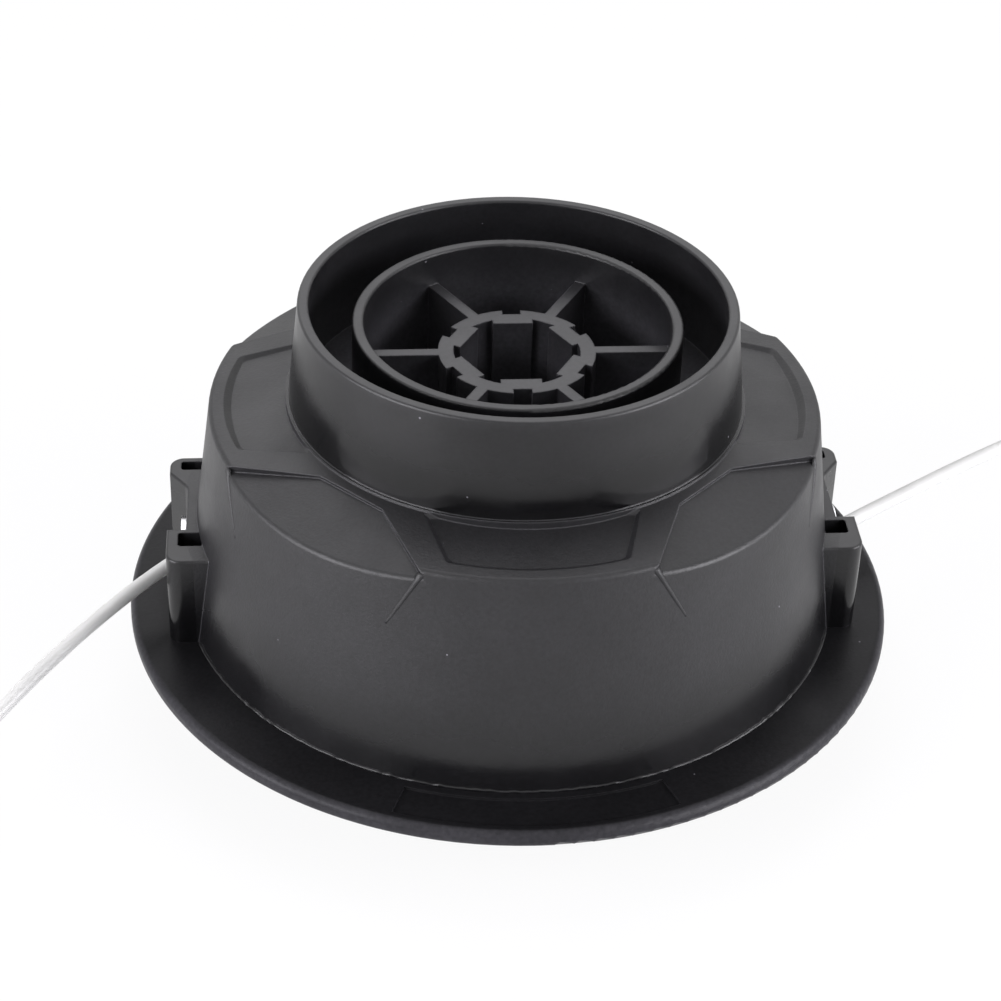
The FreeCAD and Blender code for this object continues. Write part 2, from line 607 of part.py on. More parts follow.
def build_winding(label, floor, roof):
    """Wound line in one compartment: a ring with one round ridge for each turn of its outer layer."""
    inner = size("spool_hub_radius") + size("fit_gap")
    low = value_of(floor) + size("fit_gap")
    high = value_of(roof) - size("fit_gap")
    turns = max(1, int((high - low) // size("line_diameter")))
    pitch = (high - low) / turns
    crest = size("winding_radius")
    root = crest - pitch / 4
    edges = [Part.LineSegment(section(inner, low), section(root, low)).toShape()]
    for turn in range(turns):
        start = low + turn * pitch
        edges.append(Part.Arc(section(root, start), section(crest, start + pitch / 2),
                              section(root, start + pitch)).toShape())
    edges.append(Part.LineSegment(section(root, high), section(inner, high)).toShape())
    edges.append(Part.LineSegment(section(inner, high), section(inner, low)).toShape())
    ring = Part.Face(Part.Wire(edges)).revolve(FreeCAD.Vector(0, 0, 0), FreeCAD.Vector(0, 0, 1), 360)
    return shaped(label, ring)


def section(radius, height):
    """Point of a section in the XZ plane."""
    return FreeCAD.Vector(radius, 0, height)


def shaped(label, shape):
    """Document object for a shape that is worked out from the sheet."""
    item = doc.addObject("Part::Feature", label)
    item.Label = label
    item.Shape = shape
    return item


def build_knob():
    """Hollow knob with a flat foot, a stop flange inside the cover and grooves for the guide's keys."""
    body = new_body("bump_knob")
    revolve(body, "cup", [
        ("0", "0"), ("knob_foot_radius", "0"), ("knob_radius", "knob_shoulder"), ("knob_radius", "guide_top"),
        ("knob_flange_radius", "guide_top"), ("knob_flange_radius", "knob_top"),
        ("knob_radius - knob_wall", "knob_top"), ("knob_radius - knob_wall", "knob_shoulder"),
        ("knob_foot_radius - knob_wall", "knob_foot_thickness"), ("0", "knob_foot_thickness")])
    foot = size("knob_foot_radius")
    shoulder = size("knob_shoulder")
    radius = size("knob_radius")
    round_edges(body, "dome", "knob_wall",
                lambda edge: is_ring(edge, foot, 0) or is_ring(edge, radius, shoulder))
    groove = new_sketch(body, "groove_plan", "XY_Plane", "guide_top")
    side = "key_width / 2 + fit_gap"
    rectangle(groove, f"-({side})", side, "guide_radius - key_depth - fit_gap", "guide_radius + key_depth")
    depth = "guide_top - flange_lift - key_lift + knob_travel + fit_gap"
    cut = extrude(body, "groove", groove, depth, "Pocket")
    around(body, "grooves", [cut], "key_count")
    return body


def build_washer():
    """Flat steel ring that the spring turns on."""
    body = new_body("spring_washer")
    sketch = new_sketch(body, "washer_plan", "XY_Plane", "washer_seat")
    circle(sketch, "spring_well - fit_gap")
    circle(sketch, "spindle_radius + fit_gap")
    extrude(body, "washer", sketch, "washer_thickness")
    return body


def build_spring():
    """Open-wound compression spring round the spindle, between the washer and the pocket's ceiling."""
    wire = size("spring_wire")
    turns = size("spring_turns")
    low = size("spring_foot") + wire / 2
    rise = size("pocket_ceiling") - wire / 2 - low
    steps = int(turns * STEPS_PER_TURN)
    rims = []
    for step in range(steps + 1):
        share = step / steps
        rims.append(wire_rim(360 * turns * share, low + rise * share, wire / 2))
    return shaped("spring", Part.makeLoft(rims, True, True))


def wire_rim(angle, height, radius):
    """Many-sided section of the spring's wire, in the radial plane at this angle and height."""
    turn = FreeCAD.Rotation(angle, 0, 0)
    corners = []
    for side in range(WIRE_SIDES):
        around_wire = side * 2 * math.pi / WIRE_SIDES
        out = size("spring_radius") + radius * math.cos(around_wire)
        corners.append(turn.multVec(section(out, height + radius * math.sin(around_wire))))
    return Part.makePolygon(corners + corners[:1])


def build_eyelet(label, turn):
    """Flanged metal bush with a rounded mouth, its axis along X before it is turned to its side."""
    bore = size("eyelet_bore")
    outer = bore + size("eyelet_wall")
    seat = size("seat_reach")
    face = seat + size("eyelet_flange_thickness")
    tail = seat - size("wall") - size("eyelet_lip")
    lip = size("eyelet_lip")
    half = lip * (1 - math.sqrt(0.5))
    edges = [
        Part.LineSegment(bush(bore, tail), bush(outer, tail)).toShape(),
        Part.LineSegment(bush(outer, tail), bush(outer, seat)).toShape(),
        Part.LineSegment(bush(outer, seat), bush(size("eyelet_flange"), seat)).toShape(),
        Part.LineSegment(bush(size("eyelet_flange"), seat), bush(size("eyelet_flange"), face)).toShape(),
        Part.LineSegment(bush(size("eyelet_flange"), face), bush(bore + lip, face)).toShape(),
        Part.Arc(bush(bore + lip, face), bush(bore + half, face - half), bush(bore, face - lip)).toShape(),
        Part.LineSegment(bush(bore, face - lip), bush(bore, tail)).toShape()]
    ring = Part.Face(Part.Wire(edges)).revolve(FreeCAD.Vector(0, 0, 0), FreeCAD.Vector(1, 0, 0), 360)
    item = shaped(label, ring)
    upright = FreeCAD.Rotation(FreeCAD.Vector(0, 0, 1), turn)
    item.Placement = FreeCAD.Placement(FreeCAD.Vector(0, 0, size("eyelet_height")), upright)
    return item


def bush(radius, along):
    """Point of the eyelet's section: its axis is X."""
    return FreeCAD.Vector(along, 0, radius)


def build_line(label, side, route):
    """Free end of nylon line from its eyelet: straight runs joined by tangent arcs."""
    points = [FreeCAD.Vector(side * (size("seat_reach") + out), along, size("eyelet_height") + rise)
              for out, along, rise in route]
    edges = []
    start = points[0]
    for before, corner, after in zip(points, points[1:], points[2:]):
        back = before - corner
        ahead = after - corner
        turn = math.pi - back.getAngle(ahead)
        reach = BEND_SHARE * min(back.Length, ahead.Length)
        radius = reach / math.tan(turn / 2)
        back.normalize()
        ahead.normalize()
        leave, arrive = corner + back * reach, corner + ahead * reach
        bisector = (back + ahead).normalize()
        middle = corner + bisector * (math.hypot(radius, reach) - radius)
        edges.append(Part.LineSegment(start, leave).toShape())
        edges.append(Part.Arc(leave, middle, arrive).toShape())
        start = arrive
    edges.append(Part.LineSegment(start, points[-1]).toShape())
    path = Part.Wire(edges)
    radius = size("line_diameter") / 2
    direction = points[1] - points[0]
    rim = Part.Wire(Part.makeCircle(radius, points[0], direction))
    tube = path.makePipeShell([rim], True, True)
    expected = math.pi * radius ** 2 * path.Length
    if abs(tube.Volume / expected - 1) > 0.01:
        raise RuntimeError(f"{label}: the tube's volume is off")
    return shaped(label, tube)


# Routes of the two free ends, outward, along and up from the eyelet's seat, starting just inside the wall
LINE_LEFT = [(-7.6, 6.6, 0.0), (4.2, -5.0, -0.3), (16.2, -18.1, -2.5), (27.6, -30.7, -6.6),
             (38.2, -44.0, -11.7), (47.6, -58.0, -16.7)]
LINE_RIGHT = [(-7.6, -5.6, 0.1), (5.1, 5.1, -0.9), (18.2, 16.2, -2.5), (31.1, 27.2, -4.2),
              (43.6, 38.6, -7.1), (55.2, 50.2, -10.9)]

housing = build_housing()
cover = build_cover()
spool = build_spool()
parts = [
    housing, cover, spool,
    build_winding("line_winding_lower", "spool_bottom + spool_flange", "spool_middle - spool_flange / 2"),
    build_winding("line_winding_upper", "spool_middle + spool_flange / 2", "spool_top - spool_flange"),
    build_knob(), build_washer(), build_spring(),
    build_eyelet("eyelet_right", 0), build_eyelet("eyelet_left", 180),
    build_line("line_left", -1, LINE_LEFT), build_line("line_right", 1, LINE_RIGHT)]
doc.recompute()

for item in doc.Objects:
    if any(word in item.State for word in ("Invalid", "Error")):
        raise RuntimeError(f"{item.Label} is {item.State}")
for part in parts:
    if part.Shape.isNull() or not part.Shape.isValid():
        raise RuntimeError(f"{part.Label} has no valid shape")
os.makedirs("parts", exist_ok=True)
for part in parts:
    part.Shape.exportStep(os.path.join("parts", f"{part.Label}.step"))
    print(part.Label, len(part.Shape.Solids), round(part.Shape.Volume / 1000, 2), "cm3")
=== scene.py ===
import math

import bpy
import numpy as np
from mathutils import Matrix, Vector


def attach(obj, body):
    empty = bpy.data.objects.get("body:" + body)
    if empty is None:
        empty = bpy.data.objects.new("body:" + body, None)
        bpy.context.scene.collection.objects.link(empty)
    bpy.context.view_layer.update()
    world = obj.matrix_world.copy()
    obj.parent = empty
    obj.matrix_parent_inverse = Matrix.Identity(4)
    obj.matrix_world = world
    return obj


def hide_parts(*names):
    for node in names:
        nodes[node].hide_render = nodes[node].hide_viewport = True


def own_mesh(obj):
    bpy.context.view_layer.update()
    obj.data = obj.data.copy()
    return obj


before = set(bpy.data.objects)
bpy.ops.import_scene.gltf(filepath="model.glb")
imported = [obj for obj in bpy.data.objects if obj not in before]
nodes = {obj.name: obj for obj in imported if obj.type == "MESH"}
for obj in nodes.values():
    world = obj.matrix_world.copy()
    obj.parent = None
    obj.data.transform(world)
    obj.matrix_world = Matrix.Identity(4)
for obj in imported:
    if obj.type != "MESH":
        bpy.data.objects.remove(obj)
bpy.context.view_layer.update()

scene = bpy.context.scene

# The viewpoint.
# A long lens from in front and above, with the head turned a little to its left under it.
VIEW_PLACE = (-0.0355, -0.3623, 0.2856)
VIEW_TURN = -0.0926
VIEW_PITCH = 0.6088
VIEW_ROLL = 0.0339
VIEW_LENS = 94.76

camera = bpy.data.objects.new("viewpoint", bpy.data.cameras.new("viewpoint"))
scene.collection.objects.link(camera)
camera.data.lens = VIEW_LENS
camera.data.sensor_width = 36.0
camera.data.clip_start = 0.01
camera.matrix_world = (
    Matrix.Translation(VIEW_PLACE)
    @ Matrix.Rotation(VIEW_TURN, 4, "Z")
    @ Matrix.Rotation(math.pi / 2 - VIEW_PITCH, 4, "X")
    @ Matrix.Rotation(VIEW_ROLL, 4, "Z")
)
scene.camera = camera

# The upper housing.
# One moulding in black glass-filled nylon: drum, shoulder, collar, ring, ribs, hex hub and towers.
# Its mould is spark-grained on the drum and shoulder and smoother on the collar and towers.
COLLAR_FOOT, COLLAR_FADE = 0.0538, 0.0130
DRUM_FOOT, DRUM_FADE = 0.0160, 0.0200
COLLAR_INSIDE = 0.0354
TOWER_START = 0.0550
ZONE_BLEND = 0.0002
HOUSING_GLOSS = 0.42
NYLON_TINT = (1.0, 0.975, 1.09)
# The foot factor darkens the colour towards the feet of the drum and of the collar: painted shade.
GRAINED_BLACK, SMOOTH_BLACK, FOOT_PAINTED_SHADE = 0.012, 0.007, 0.5
# Deep inside the collar the colour is lighter, fading out going up: painted light.
INSIDE_DEEP_PAINTED_LIGHT, INSIDE_SHALLOW_PAINTED_LIGHT = (0.0520, 0.050), (0.0660, 0.004)
GRAINED_ROUGHNESS, SMOOTH_ROUGHNESS, FOOT_POLISH = 0.45, 0.36, 0.24
GRAIN_SIZE, GRAIN_DEPTH, SMOOTH_GRAIN, FOOT_GRAIN = 0.00045, 0.016, 0.12, 0.3
FLECK_SIZE, FLECK_RANGE = GRAIN_SIZE * 1.6, (0.8, 1.2)
CLOUD_SIZE, CLOUD_RANGE = 0.012, (0.88, 1.12)
SHEEN_SIZE, SHEEN_RANGE = 0.009, (-0.05, 0.05)
PEEL_SIZE, PEEL_DEPTH = 0.005, 0.012
# Edges are paler, partly from wear and partly as a painted highlight.
EDGE_ROUND, EDGE_TURN, EDGE_WEAR_AND_HIGHLIGHT = 0.00035, (0.97, 0.75), 0.05
SPECK_CELL, SPECK_REACH, SPECK_SHARE, SPECK_LIGHT = 0.0036, 0.055, 0.2, 0.16


def shader(name, base, roughness, **sockets):
    """A material with a Principled shader: base colour and roughness, and other sockets by name."""
    material = bpy.data.materials.new(name)
    material.use_nodes = True
    surface = material.node_tree.nodes["Principled BSDF"]
    surface.inputs["Base Color"].default_value = (*base, 1.0)
    surface.inputs["Roughness"].default_value = roughness
    for socket, value in sockets.items():
        surface.inputs[socket.replace("_", " ")].default_value = value
    return material, material.node_tree, surface


def add_node(tree, kind, inputs=None, **settings):
    """One shader node with its settings, and its input sockets set or linked by name or place."""
    made = tree.nodes.new("ShaderNode" + kind)
    for setting, value in settings.items():
        setattr(made, setting, value)
    for socket, value in (inputs or {}).items():
        if isinstance(value, bpy.types.NodeSocket):
            tree.links.new(value, made.inputs[socket])
        else:
            made.inputs[socket].default_value = value
    return made


def worked(tree, operation, first, second=0.0):
    """One sum on two numbers, each a socket or a constant."""
    return add_node(tree, "Math", {0: first, 1: second}, operation=operation).outputs[0]


def stepped(tree, value, low, high, start=0.0, end=1.0):
    """A smooth step of a value: start below low, end above high."""
    inputs = {"Value": value, "From Min": low, "From Max": high, "To Min": start, "To Max": end}
    return add_node(tree, "MapRange", inputs, interpolation_type="SMOOTHSTEP").outputs[0]


def mottled(tree, place, size, low, high, detail=2.0):
    """Noise with features of one size in metres, spread from low to high."""
    noise = add_node(tree, "TexNoise", {"Vector": place, "Scale": 1 / size, "Detail": detail})
    spread = {"From Min": 0.3, "From Max": 0.7, "To Min": low, "To Max": high}
    inputs = {"Value": noise.outputs[0], **spread}
    return add_node(tree, "MapRange", inputs, clamp=False).outputs[0]


def dusted(tree, place, cell, reach, share):
    """Sparse dots: one in some of the cells of a Voronoi pattern, reach cells wide."""
    cells = add_node(tree, "TexVoronoi", {"Vector": place, "Scale": 1 / cell})
    dot = stepped(tree, cells.outputs["Distance"], reach * 0.6, reach, 1.0, 0.0)
    chosen = add_node(tree, "SeparateColor", {0: cells.outputs["Color"]}).outputs[0]
    return worked(tree, "MULTIPLY", dot, worked(tree, "LESS_THAN", chosen, share))


def black_nylon(name, finish_at, lightness=1.0, gloss=0.5, wear_and_highlight=EDGE_WEAR_AND_HIGHLIGHT):
    """Black nylon between a grained and a smooth finish, with faint waves, dust, and paler edges,
    partly worn and partly a painted highlight.

    finish_at gives three numbers at a place: how smooth, how much painted light, how near a foot
    for painted shade.
    """
    base = (SMOOTH_BLACK,) * 3
    material, tree, surface = shader(name, base, SMOOTH_ROUGHNESS, Specular_IOR_Level=gloss)
    place = add_node(tree, "TexCoord").outputs["Object"]
    smooth, painted_light_lift, foot = finish_at(tree, place)
    edged = add_node(tree, "Bevel", {"Radius": EDGE_ROUND}, samples=4).outputs[0]
    facing = add_node(tree, "NewGeometry").outputs["Normal"]
    turned = add_node(tree, "VectorMath", {0: edged, 1: facing}, operation="DOT_PRODUCT")
    edge = stepped(tree, turned.outputs["Value"], *EDGE_TURN)
    dust_and_painted_light = dusted(tree, place, SPECK_CELL, SPECK_REACH, SPECK_SHARE)

    tone = stepped(tree, smooth, 0.0, 1.0, GRAINED_BLACK * lightness, SMOOTH_BLACK * lightness)
    # Paler deep inside the collar and round the flange's rim: painted light.
    tone = worked(tree, "ADD", tone, painted_light_lift)
    # Darker towards each foot: painted shade.
    tone = worked(tree, "MULTIPLY", tone, stepped(tree, foot, 0.0, 1.0, 1.0, FOOT_PAINTED_SHADE))
    tone = worked(tree, "MULTIPLY", tone, mottled(tree, place, CLOUD_SIZE, *CLOUD_RANGE))
    tone = worked(tree, "MULTIPLY", tone, mottled(tree, place, FLECK_SIZE, *FLECK_RANGE))
    # Paler edges: partly wear, partly a painted highlight.
    tone = worked(tree, "ADD", tone, worked(tree, "MULTIPLY", edge, wear_and_highlight))
    tone = worked(tree, "ADD", tone, worked(tree, "MULTIPLY", dust_and_painted_light, SPECK_LIGHT))
    colour = add_node(tree, "VectorMath", {0: NYLON_TINT, "Scale": tone}, operation="SCALE")
    tree.links.new(colour.outputs[0], surface.inputs["Base Color"])

    rough = stepped(tree, smooth, 0.0, 1.0, GRAINED_ROUGHNESS, SMOOTH_ROUGHNESS)
    rough = worked(tree, "SUBTRACT", rough, worked(tree, "MULTIPLY", foot, FOOT_POLISH))
    rough = worked(tree, "ADD", rough, mottled(tree, place, SHEEN_SIZE, *SHEEN_RANGE, 4.0))
    tree.links.new(rough, surface.inputs["Roughness"])

    depth = stepped(tree, smooth, 0.0, 1.0, GRAIN_DEPTH, GRAIN_DEPTH * SMOOTH_GRAIN)
    depth = worked(tree, "MULTIPLY", depth, stepped(tree, foot, 0.0, 1.0, 1.0, FOOT_GRAIN))
    grain = worked(tree, "MULTIPLY", mottled(tree, place, GRAIN_SIZE, 0.0, 1.0, 3.0), depth)
    height = worked(tree, "ADD", grain, mottled(tree, place, PEEL_SIZE, 0.0, PEEL_DEPTH))
    inputs = {"Height": height, "Distance": 0.001, "Strength": 1.0, "Normal": edged}
    bump = add_node(tree, "Bump", inputs)
    tree.links.new(bump.outputs[0], surface.inputs["Normal"])
    return material


def round_place(tree, place):
    """How far out from the drive axis a place is, and how high."""
    parts = add_node(tree, "SeparateXYZ", {0: place}).outputs
    flat = add_node(tree, "CombineXYZ", {0: parts[0], 1: parts[1]}).outputs[0]
    out = add_node(tree, "VectorMath", {0: flat}, operation="LENGTH").outputs["Value"]
    return out, parts[2]


def housing_zones(tree, place):
    """Smooth on the collar and towers, grained on the drum and shoulder, polished at both feet and
    darkened there with painted shade.
    """
    out, up = round_place(tree, place)
    collar = stepped(tree, up, COLLAR_FOOT, COLLAR_FOOT + ZONE_BLEND)
    inside = stepped(tree, out, COLLAR_INSIDE, COLLAR_INSIDE + ZONE_BLEND, 1.0, 0.0)
    tower = stepped(tree, out, TOWER_START, TOWER_START + ZONE_BLEND)
    smooth = worked(tree, "MAXIMUM", collar, worked(tree, "MAXIMUM", inside, tower))
    drum_foot = stepped(tree, up, DRUM_FOOT, DRUM_FOOT + DRUM_FADE, 1.0, 0.0)
    collar_foot = stepped(tree, up, COLLAR_FOOT, COLLAR_FOOT + COLLAR_FADE, 1.0, 0.0)
    outside = worked(tree, "SUBTRACT", collar, inside)
    foot = worked(tree, "MAXIMUM", drum_foot, worked(tree, "MULTIPLY", collar_foot, outside))
    # Paler deep inside the collar, fading out going up: painted light.
    (deep, deep_painted_light), (shallow, shallow_painted_light) = INSIDE_DEEP_PAINTED_LIGHT, INSIDE_SHALLOW_PAINTED_LIGHT
    dust_and_painted_light = stepped(tree, up, deep, shallow, deep_painted_light, shallow_painted_light)
    return smooth, worked(tree, "MULTIPLY", inside, dust_and_painted_light), foot


def dress(node, material):
    """Gives a node of the frame this material in place of its plain one."""
    nodes[node].data.materials.clear()
    nodes[node].data.materials.append(material)


housing_nylon = black_nylon("housing_nylon", housing_zones, gloss=HOUSING_GLOSS)
dress("upper_housing", housing_nylon)

# The creases of the drum's wall and the flash along its foot.
# Both belong to the same moulding: a low ridge falls from each corner of a strap and fades out,
# and a thin uneven burr stands where the two halves of the mould met, above the flange.
WALL_FOOT = (0.0548, 0.0150)
WALL_TOP = (0.0500, 0.0522)
CREASE_ANGLES = (20.6, 26.6)
CREASE_HEIGHTS = (0.0516, 0.0418)
CREASE_HALF_WIDTH, CREASE_STAND, CREASE_ROOT = 0.0008, 0.00030, 0.0003
CREASE_RISE, CREASE_FADE, CREASE_NARROWING = 0.12, 0.7, 0.5
CREASE_ACROSS = np.array([-1.0, -0.5, -0.2, 0.0, 0.2, 0.5, 1.0])
CREASE_HUMP = np.array([-1.0, 0.35, 0.85, 1.0, 0.85, 0.35, -1.0])
FLASH_HALF_SPAN = 73.5
FLASH_HEIGHT, FLASH_WIDTH, FLASH_ROOT = 0.00042, 0.00022, 0.0003
FLASH_PACES, FLASH_FINE_PACES = (7, 13, 23, 41, 67), (89, 127, 173)


def wall_radius(height):
    """Radius of the drum's wall at a height: a straight line from its foot to its top."""
    return np.interp(height, (WALL_FOOT[1], WALL_TOP[1]), (WALL_FOOT[0], WALL_TOP[0]))


def lofted(name, rows, material):
    """One closed skin over each row of sections: quads between neighbours, and filled ends.

    rows has the shape (rows, sections, points, 3).
    """
    index = np.arange(rows[..., 0].size).reshape(rows.shape[:3])
    ahead = np.roll(index, -1, axis=2)
    quads = np.stack([index[:, :-1], ahead[:, :-1], ahead[:, 1:], index[:, 1:]], axis=-1)
    faces = quads.reshape(-1, 4).tolist() + index[:, 0, ::-1].tolist() + index[:, -1].tolist()
    mesh = bpy.data.meshes.new(name)
    mesh.from_pydata(rows.reshape(-1, 3).tolist(), [], faces)
    mesh.polygons.foreach_set("use_smooth", np.ones(len(mesh.polygons), dtype=bool))
    mesh.materials.append(material)
    piece = bpy.data.objects.new(name, mesh)
    scene.collection.objects.link(piece)
    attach(piece, "housing")
    return piece


def crease_rows():
    """Eight ridges, each a row of flat humps straight down the cone.

    The hump stands CREASE_STAND off the wall, times min(1, s / rise) (1 - s)^fade at a share s of
    the way, and narrows as it goes. Its two end points lie under the wall.
    """
    along = np.linspace(0.0, 1.0, 25)
    stand = np.minimum(1.0, along / CREASE_RISE) * (1.0 - along) ** CREASE_FADE
    height = CREASE_HEIGHTS[0] + along * (CREASE_HEIGHTS[1] - CREASE_HEIGHTS[0])
    aside = np.radians(np.interp(along, (0, 1), CREASE_ANGLES))
    lift = np.where(CREASE_HUMP > 0, CREASE_HUMP * CREASE_STAND, -CREASE_ROOT)
    out = wall_radius(height)[:, None] + np.where(lift > 0, stand[:, None] * lift, lift)
    narrowed = CREASE_HALF_WIDTH / WALL_TOP[0] * (1 - CREASE_NARROWING * along[:, None])
    tall = np.broadcast_to(height[:, None], out.shape)
    rows = []
    for strap in range(4):
        for side in (-1, 1):
            turn = math.radians(-90 + 90 * strap) + side * aside
            swing = turn[:, None] - CREASE_ACROSS * narrowed
            rows.append(np.stack([out * np.cos(swing), out * np.sin(swing), tall], axis=-1))
    return np.array(rows)


def flash_rows():
    """Two uneven burrs along the drum's foot, each a row of thin upright sections.

    Height and thickness wander with the angle a, by the mean of sin(n a + n) over the paces n.
    """
    rows = []
    for middle in (-90.0, 90.0):
        ends = middle - FLASH_HALF_SPAN, middle + FLASH_HALF_SPAN
        angle = np.radians(np.linspace(*ends, 361))[:, None]
        wander = np.sin(angle * FLASH_PACES + FLASH_PACES).mean(axis=1)
        fine = np.sin(angle * FLASH_FINE_PACES + 2 * np.array(FLASH_FINE_PACES)).mean(axis=1)
        tall = FLASH_HEIGHT * (0.75 + 0.5 * wander + 0.3 * fine).clip(0.25, 1.2)
        thick = FLASH_WIDTH * (1.0 + 0.4 * wander)
        root, none = np.full_like(thick, -FLASH_ROOT), np.zeros_like(thick)
        out = WALL_FOOT[0] + np.stack([root, 0.8 * thick, thick, root], axis=1)
        up = WALL_FOOT[1] + np.stack([tall, tall, none, none], axis=1)
        rows.append(np.stack([out * np.cos(angle), out * np.sin(angle), up], axis=-1))
    return np.array(rows)


lofted("wall_creases", crease_rows(), housing_nylon)
lofted("seam_flash", flash_rows(), housing_nylon)

# The lower cover.
# A second black nylon moulding, with the wide flange; its four hooked arms snap into the towers.
# It comes from a polished mould, so it is smoother and a little darker than the drum.
# The flange's rim is lighter in colour: a painted highlight.
RIM_START, RIM_BLEND, RIM_PAINTED_HIGHLIGHT = 0.0632, 0.0008, 0.022
COVER_PATCH, COVER_SMOOTH, COVER_POLISH = 0.02, (0.3, 0.5), 0.3
# The cover's edges are paler, partly from wear and partly as a painted highlight.
COVER_LIGHTNESS, COVER_GLOSS, COVER_WEAR_AND_HIGHLIGHT = 0.9, 0.1, 0.004


def cover_zones(tree, place):
    """A patchy half-smooth finish, with a painted highlight round the flange's rim."""
    out = round_place(tree, place)[0]
    rim = stepped(tree, out, RIM_START, RIM_START + RIM_BLEND, 0.0, RIM_PAINTED_HIGHLIGHT)
    return mottled(tree, place, COVER_PATCH, *COVER_SMOOTH), rim, COVER_POLISH


cover_nylon = black_nylon("cover_nylon", cover_zones, COVER_LIGHTNESS, COVER_GLOSS, COVER_WEAR_AND_HIGHLIGHT)
dress("lower_cover", cover_nylon)

# The bump knob.
# Black nylon, thick at its flat foot, which is tapped on the ground.
# It slides in the cover's guide and carries the spool up with it.
KNOB_SMOOTH, KNOB_LIGHTNESS = (0.2, 0.6), 1.1
MOULD_PATCH = 0.015


def patchy(low, high):
    """A finish that wanders between two degrees of smoothness, the same all over the piece."""
    return lambda tree, place: (mottled(tree, place, MOULD_PATCH, low, high), 0.0, 0.0)


dress("bump_knob", black_nylon("knob_nylon", patchy(*KNOB_SMOOTH), KNOB_LIGHTNESS))

# The spool.
# Black nylon with two compartments for the line and dogs on both ends.
# It turns on the housing's spindle, one dog at a time.
SPOOL_SMOOTH, SPOOL_LIGHTNESS = (0.4, 0.8), 1.2
dress("spool", black_nylon("spool_nylon", patchy(*SPOOL_SMOOTH), SPOOL_LIGHTNESS))

# The eyelets.
# Turned aluminium bushes pressed into ports of the drum's wall.
# The line runs over their rounded mouths.
EYELET_SILVER, EYELET_ROUGHNESS = (0.75, 0.75, 0.76), 0.24
EYELET_LINES = (9000.0, 900.0, 900.0)
SCORE_TONE, SCORE_DULLING, SCORE_DEPTH = (0.86, 1.06), (-0.05, 0.09), 0.00002
DULL_PATCH, DULL_RANGE = 0.003, (-0.06, 0.08)


def bare_metal(name, base, roughness, lines):
    """Bare metal with fine lines across one axis of the piece, and dull patches."""
    material, tree, surface = shader(name, base, roughness, Metallic=1.0)
    place = add_node(tree, "TexCoord").outputs["Object"]
    stretched = add_node(tree, "Mapping", {"Vector": place, "Scale": lines}).outputs[0]
    scored = mottled(tree, stretched, 1.0, 0.0, 1.0, 4.0)
    dulling = [roughness + change for change in SCORE_DULLING]
    rough = stepped(tree, scored, 0.0, 1.0, *dulling)
    rough = worked(tree, "ADD", mottled(tree, place, DULL_PATCH, *DULL_RANGE), rough)
    tree.links.new(rough, surface.inputs["Roughness"])
    tone = stepped(tree, scored, 0.0, 1.0, *SCORE_TONE)
    colour = add_node(tree, "VectorMath", {0: base, "Scale": tone}, operation="SCALE")
    tree.links.new(colour.outputs[0], surface.inputs["Base Color"])
    bump = add_node(tree, "Bump", {"Height": scored, "Distance": SCORE_DEPTH, "Strength": 0.6})
    tree.links.new(bump.outputs[0], surface.inputs["Normal"])
    return material


eyelet_metal = bare_metal("eyelet_metal", EYELET_SILVER, EYELET_ROUGHNESS, EYELET_LINES)
dress("eyelet_left", eyelet_metal)
dress("eyelet_right", eyelet_metal)

# The spring and its washer.
# Drawn steel wire wound round the spindle, on a stamped washer that lets it turn; both are bright.
# The spring stands on the washer and presses on the housing; in use it shortens by the knob's
# travel, but the coil here is drawn at one length.
STEEL_GREY, STEEL_ROUGHNESS = (0.52, 0.52, 0.53), 0.32
STEEL_LINES = (1500.0, 1500.0, 6000.0)
SPRING_FOOT, SPRING_TOP = 0.02303, 0.04707
SPRING_RADIUS, SPRING_WIRE, SPRING_TURNS = 0.0164, 0.0016, 4.5


def coil_rows():
    """One helix of even pitch, from foot to top, with a round section.

    At angle t the section's centre is (R cos t, R sin t, low + rise t / whole turn).
    """
    share = np.linspace(0.0, 1.0, 181)[:, None]
    turn = share * SPRING_TURNS * 2 * math.pi
    around = np.linspace(0.0, -2 * math.pi, 12, endpoint=False)
    low, high = SPRING_FOOT + SPRING_WIRE / 2, SPRING_TOP - SPRING_WIRE / 2
    out = SPRING_RADIUS + SPRING_WIRE / 2 * np.cos(around)
    up = low + (high - low) * share + SPRING_WIRE / 2 * np.sin(around)
    return np.stack([out * np.cos(turn), out * np.sin(turn), up], axis=-1)[None]


spring_steel = bare_metal("spring_steel", STEEL_GREY, STEEL_ROUGHNESS, STEEL_LINES)
coil = lofted("spring_coil", coil_rows(), spring_steel)
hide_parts("spring")
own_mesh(coil)
dress("spring_washer", spring_steel)

# The two free ends of the cutting line, and the line wound on the spool.
# Extruded round nylon, clear with a milky core, 2.4 mm thick.
# Each end comes off the winding inside, passes its eyelet and keeps the spool's bend.
LINE_DIAMETER = 0.0024
LINE_MILK = (0.70, 0.70, 0.685)
LINE_ROUGHNESS, LINE_INDEX = 0.3, 1.53
LINE_CLEAR, WINDING_CLEAR = 0.2, 0.1
MILK_CLOUD, MILK_RANGE = 0.009, (0.95, 1.04)
DRAWN_SIZE, DRAWN_DEPTH = 0.004, 0.00002
LINE_ROUTES = {
    "line_left": [
        (-0.0468, 0.0066, 0.0235), (-0.0586, -0.0050, 0.0232), (-0.0706, -0.0181, 0.0210),
        (-0.0820, -0.0307, 0.0169), (-0.0926, -0.0440, 0.0118), (-0.1020, -0.0580, 0.0068),
    ],
    "line_right": [
        (0.0468, -0.0056, 0.0236), (0.0595, 0.0051, 0.0226), (0.0726, 0.0162, 0.0210),
        (0.0855, 0.0272, 0.0193), (0.0980, 0.0386, 0.0164), (0.1096, 0.0502, 0.0126),
    ],
}


